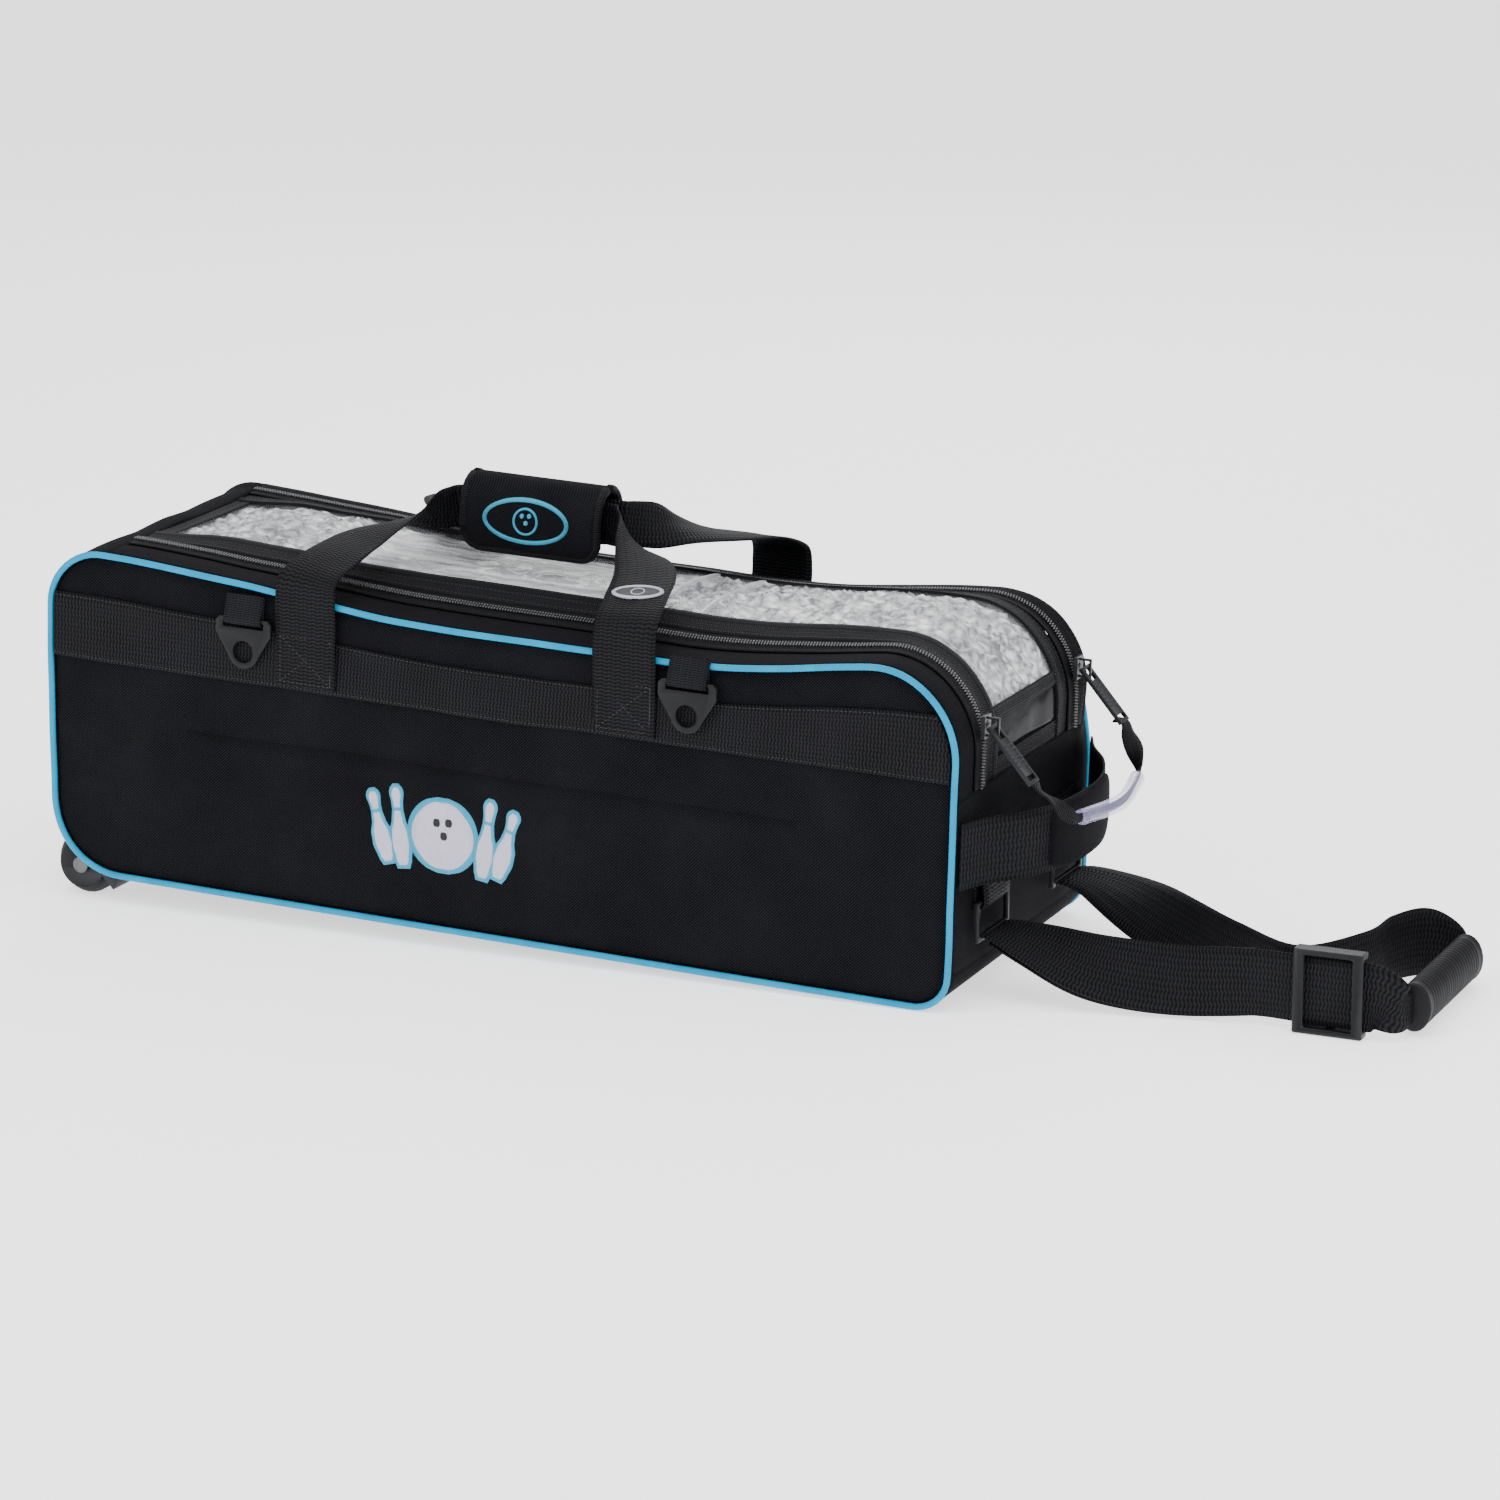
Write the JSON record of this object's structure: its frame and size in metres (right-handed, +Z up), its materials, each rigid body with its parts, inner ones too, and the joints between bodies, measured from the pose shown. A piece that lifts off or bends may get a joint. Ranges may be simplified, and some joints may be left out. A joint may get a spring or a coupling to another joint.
{
  "type": "rolling bowling bag",
  "caption": "Long soft tote on two small wheels for carrying bowling balls, with a zipped clear-topped lid, padded carry handles and a webbing pull strap.",
  "frame": {"origin": "middle of the whole object's footprint, on the ground, pull strap included", "axes": "+X from the wheels towards the pull strap, +Z up, -Y the side with the rings"},
  "size_m": [1.0804, 0.293, 0.338],
  "materials": {
    "bag_fabric": "woven polyester",
    "binding": "bound edge",
    "piping": "satin",
    "webbing": "ribbed polypropylene",
    "zip_coil": "nylon coil",
    "zip_metal": "black enamel",
    "clear_vinyl": "clear flexible sheet",
    "patch_vinyl": "clear sheet over black fabric",
    "clear_tube": "clear tinted tube",
    "packing": "crumpled translucent film",
    "hardware": "moulded acetal",
    "tyre": "matt",
    "rivet_steel": "satin",
    "grip_rubber": "matt moulded",
    "board": "smooth",
    "foam": "foam with fabric face"
  },
  "bodies": {
    "bag": {"front_panel": "bag_fabric", "rear_panel": "bag_fabric", "front_piping": "piping", "rear_piping": "piping", "base_panel": "bag_fabric", "pull_end_panel": "bag_fabric", "wheel_end_panel": "bag_fabric", "wheel_corner_panel": "bag_fabric", "wheel_housing_front": "hardware", "axle_front": "rivet_steel", "wheel_housing_rear": "hardware", "axle_rear": "rivet_steel", "front_top_strip": "bag_fabric", "bag_zip_front": "zip_coil", "lid_zip_front": "zip_coil", "rear_top_strip": "bag_fabric", "bag_zip_rear": "zip_coil", "lid_zip_rear": "zip_coil", "lid_border": "binding", "lid_window": "clear_vinyl", "packing_film": "packing", "base_board": "board", "base_foam": "foam", "divider_wheel_side": "foam", "divider_pull_side": "foam", "front_band": "webbing", "rear_band": "webbing", "ring_loop_left": "webbing", "ring_loop_right": "webbing", "end_handle": "webbing", "end_handle_sleeve": "bag_fabric", "strap_anchor_front": "webbing", "strap_anchor_rear": "webbing"},
    "wheel_front": {"wheel_hub_front": "hardware", "wheel_tyre_front": "tyre"},
    "wheel_rear": {"wheel_hub_rear": "hardware", "wheel_tyre_rear": "tyre"},
    "lid_end": {"lid_end_border": "binding", "lid_end_patch": "patch_vinyl", "lid_end_window": "clear_vinyl", "packing_film_end": "packing", "lid_end_zip_front": "zip_coil", "lid_end_zip_rear": "zip_coil", "zip_slider_front": "zip_metal", "zip_slider_rear": "zip_metal"},
    "zip_handle": {"zip_tab_front": "hardware", "zip_tab_rear": "hardware", "zip_bridge_strap": "webbing", "zip_grip_tube": "clear_tube"},
    "front_handle": {"front_handle_strap": "webbing", "handle_wrap": "bag_fabric"},
    "rear_handle": {"rear_handle_strap": "webbing"},
    "ring_left": {"triangle_ring_left": "hardware"},
    "ring_right": {"triangle_ring_right": "hardware"},
    "pull_strap": {"strap_ring_front": "hardware", "strap_ring_rear": "hardware", "pull_strap_webbing": "webbing", "pull_strap_tail": "webbing", "pull_strap_grip": "grip_rubber"},
    "adjuster": {"strap_adjuster": "hardware"}
  },
  "joints": [
    {"name": "wheel_front_spin", "type": "hinge", "parent": "bag", "child": "wheel_front", "pos_m": [-0.51522, -0.11029, 0.02499], "axis": [0, 1, 0], "continuous": true},
    {"name": "wheel_rear_spin", "type": "hinge", "parent": "bag", "child": "wheel_rear", "pos_m": [-0.51522, 0.11271, 0.02499], "axis": [0, 1, 0], "continuous": true},
    {"name": "lid_end_fold", "type": "hinge", "parent": "bag", "child": "lid_end", "pos_m": [0.00361, 0.00121, 0.2628], "axis": [0, -1, 0], "range_deg": [0, 100]},
    {"name": "zip_handle_swing", "type": "hinge", "parent": "lid_end", "child": "zip_handle", "pos_m": [0.22278, 0.00121, 0.20503], "axis": [0, -1, 0], "range_deg": [0, 110]},
    {"name": "front_handle_swing", "type": "hinge", "parent": "bag", "child": "front_handle", "pos_m": [-0.15692, -0.14249, 0.24739], "axis": [0.9996, 0, -0.0299], "range_deg": [0, 180]},
    {"name": "rear_handle_swing", "type": "hinge", "parent": "bag", "child": "rear_handle", "pos_m": [-0.15692, 0.14491, 0.24739], "axis": [0.9996, 0, -0.0299], "range_deg": [-180, 0]},
    {"name": "ring_left_swing", "type": "hinge", "parent": "bag", "child": "ring_left", "pos_m": [-0.35881, -0.14251, 0.23741], "axis": [-0.9996, 0, 0.0299], "range_deg": [0, 115]},
    {"name": "ring_right_swing", "type": "hinge", "parent": "bag", "child": "ring_right", "pos_m": [0.00603, -0.14251, 0.22651], "axis": [-0.9996, 0, 0.0299], "range_deg": [0, 115]},
    {"name": "pull_strap_swing", "type": "hinge", "parent": "bag", "child": "pull_strap", "pos_m": [0.21676, 0.00121, 0.07399], "axis": [0, -1, 0], "range_deg": [0, 45]},
    {"name": "adjuster_slide", "type": "slide", "parent": "pull_strap", "child": "adjuster", "axis": [1, 0, 0], "range_m": [-0.025, 0]}
  ],
  "couplings": [
    {"joint": "rear_handle_swing", "follows": "front_handle_swing", "ratio": -1}
  ]
}
